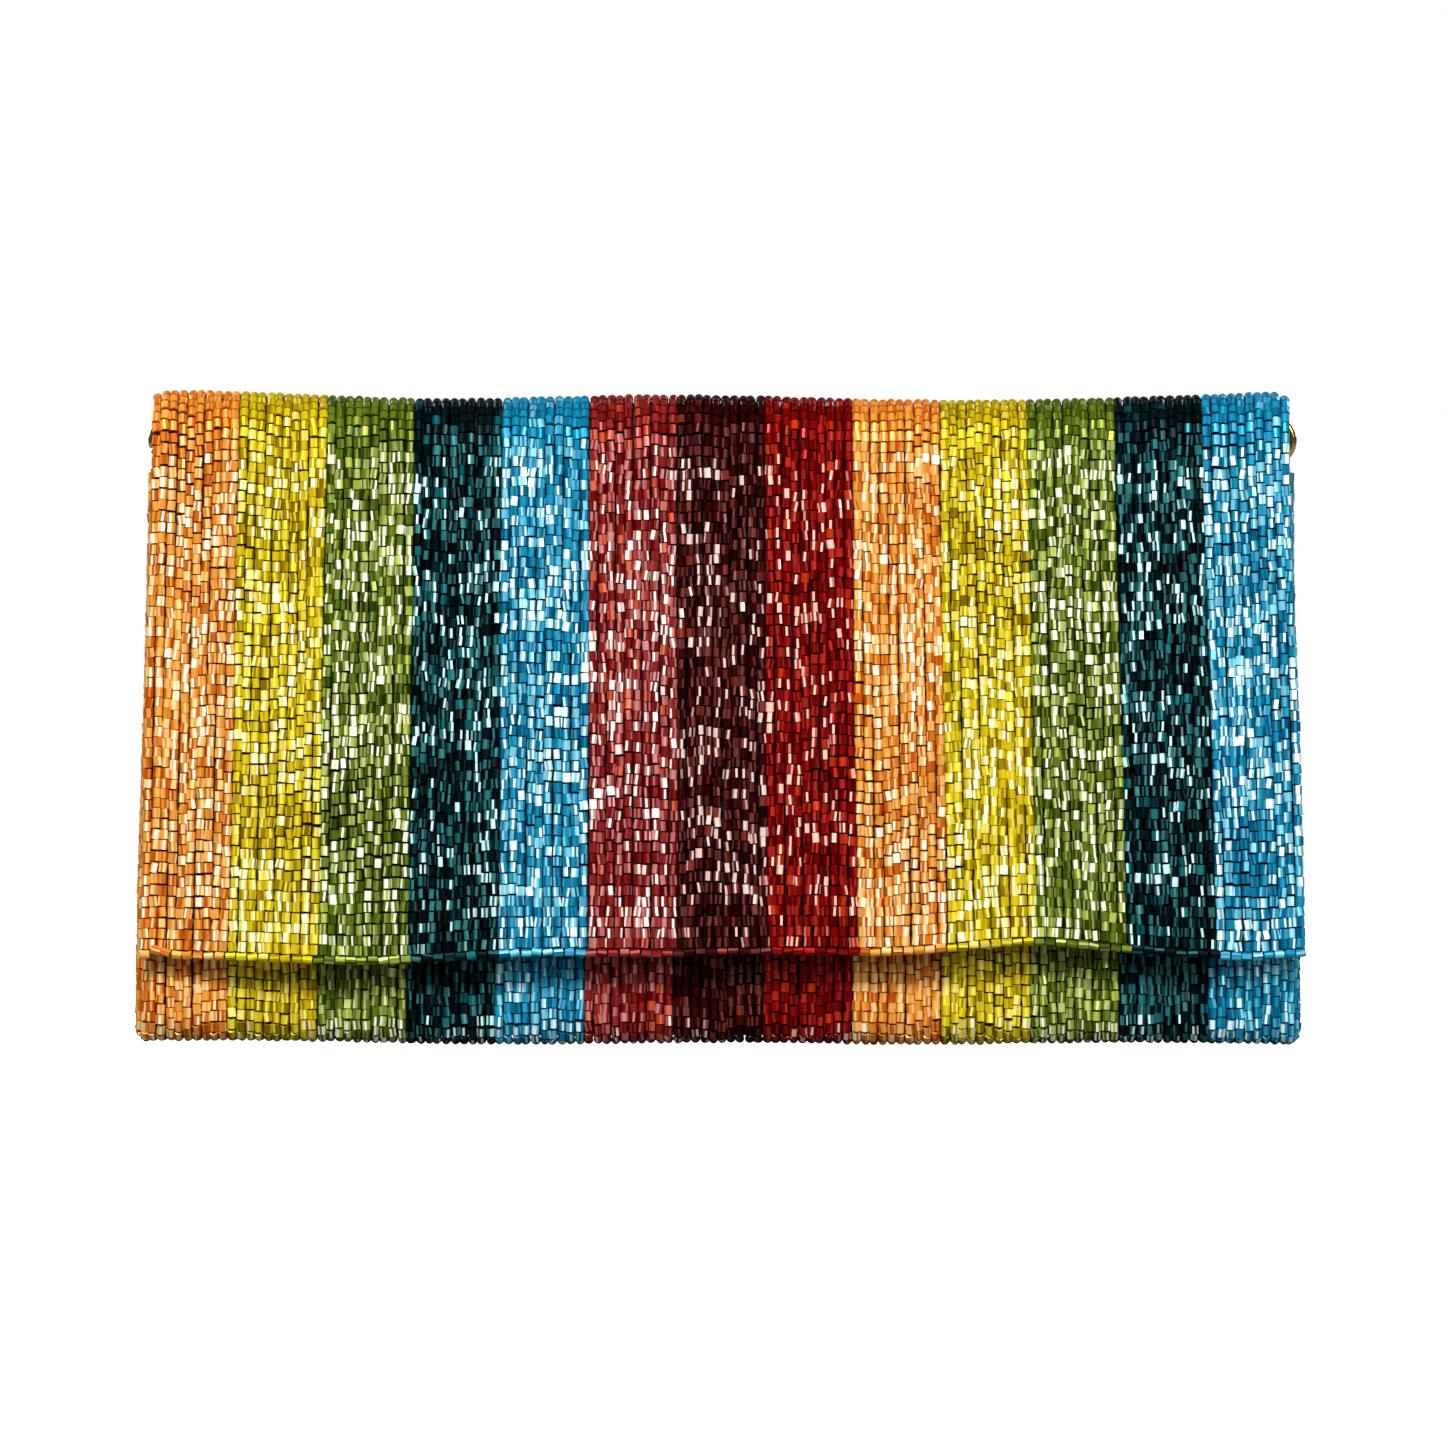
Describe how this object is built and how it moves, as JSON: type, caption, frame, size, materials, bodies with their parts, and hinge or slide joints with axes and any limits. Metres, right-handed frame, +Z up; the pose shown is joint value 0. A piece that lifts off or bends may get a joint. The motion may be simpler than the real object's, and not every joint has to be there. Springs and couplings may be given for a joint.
{
  "type": "clutch purse",
  "caption": "Fold-over clutch purse covered in upright stripes of coloured glass beads, with a full-width flap, magnetic snap and small strap rings.",
  "frame": {"origin": "middle of the base, on the surface the purse stands on", "axes": "+X to the right as seen from the front, the flap's front faces -Y, +Z up"},
  "size_m": [0.28, 0.024, 0.156],
  "materials": {
    "beads_orange": "silver-lined two-cut glass beads",
    "beads_yellow": "silver-lined two-cut glass beads",
    "beads_green": "silver-lined two-cut glass beads",
    "beads_teal": "silver-lined two-cut glass beads",
    "beads_blue": "silver-lined two-cut glass beads",
    "beads_rose": "silver-lined two-cut glass beads",
    "beads_maroon": "silver-lined two-cut glass beads",
    "beads_red": "silver-lined two-cut glass beads",
    "beads_edge": "silver-lined two-cut glass beads of the neighbouring stripe's colour",
    "base_cloth": "dark closely woven cloth",
    "interlining": "stiff felted interlining",
    "lining": "satin",
    "ribbon": "dark ribbed ribbon",
    "gold_metal": "polished gold plate",
    "magnet": "matt ferrite"
  },
  "bodies": {
    "pouch": {"pouch_stripe_01_orange": "beads_orange", "pouch_stripe_02_yellow": "beads_yellow", "pouch_stripe_03_green": "beads_green", "pouch_stripe_04_teal": "beads_teal", "pouch_stripe_05_blue": "beads_blue", "pouch_stripe_06_rose": "beads_rose", "pouch_stripe_07_maroon": "beads_maroon", "pouch_stripe_08_red": "beads_red", "pouch_stripe_09_orange": "beads_orange", "pouch_stripe_10_yellow": "beads_yellow", "pouch_stripe_11_green": "beads_green", "pouch_stripe_12_teal": "beads_teal", "pouch_stripe_13_blue": "beads_blue", "pouch_cloth": "base_cloth", "pouch_interlining": "interlining", "pouch_lining": "lining", "ring_tab_left": "ribbon", "ring_tab_right": "ribbon", "snap_socket": "gold_metal", "snap_magnet": "magnet", "snap_socket_washer": "gold_metal"},
    "fold": {"fold_stripe_01_orange": "beads_orange", "fold_stripe_02_yellow": "beads_yellow", "fold_stripe_03_green": "beads_green", "fold_stripe_04_teal": "beads_teal", "fold_stripe_05_blue": "beads_blue", "fold_stripe_06_rose": "beads_rose", "fold_stripe_07_maroon": "beads_maroon", "fold_stripe_08_red": "beads_red", "fold_stripe_09_orange": "beads_orange", "fold_stripe_10_yellow": "beads_yellow", "fold_stripe_11_green": "beads_green", "fold_stripe_12_teal": "beads_teal", "fold_stripe_13_blue": "beads_blue", "fold_cloth": "base_cloth", "fold_lining": "lining"},
    "flap": {"flap_stripe_01_orange": "beads_orange", "flap_stripe_02_yellow": "beads_yellow", "flap_stripe_03_green": "beads_green", "flap_stripe_04_teal": "beads_teal", "flap_stripe_05_blue": "beads_blue", "flap_stripe_06_rose": "beads_rose", "flap_stripe_07_maroon": "beads_maroon", "flap_stripe_08_red": "beads_red", "flap_stripe_09_orange": "beads_orange", "flap_stripe_10_yellow": "beads_yellow", "flap_stripe_11_green": "beads_green", "flap_stripe_12_teal": "beads_teal", "flap_stripe_13_blue": "beads_blue", "flap_cloth": "base_cloth", "flap_interlining": "interlining", "flap_lining": "lining", "flap_edge_beads": "beads_edge", "snap_stud": "gold_metal", "snap_stud_washer": "gold_metal"},
    "ring_left": {"ring_left": "gold_metal"},
    "ring_right": {"ring_right": "gold_metal"}
  },
  "joints": [
    {"name": "fold_back", "type": "hinge", "parent": "pouch", "child": "fold", "pos_m": [0, 0.00689, 0.15089], "axis": [-1, 0, 0], "range_deg": [0, 90]},
    {"name": "fold_front", "type": "hinge", "parent": "fold", "child": "flap", "pos_m": [0, -0.00689, 0.15089], "axis": [-1, 0, 0], "range_deg": [0, 90]},
    {"name": "ring_left_swing", "type": "hinge", "parent": "pouch", "child": "ring_left", "pos_m": [-0.1318, 0.002, 0.1402], "axis": [1, 0, 0], "range_deg": [-4, 50]},
    {"name": "ring_right_swing", "type": "hinge", "parent": "pouch", "child": "ring_right", "pos_m": [0.1318, 0.002, 0.1402], "axis": [1, 0, 0], "range_deg": [-4, 50]}
  ],
  "couplings": [
    {"joint": "fold_front", "follows": "fold_back", "ratio": 1}
  ]
}
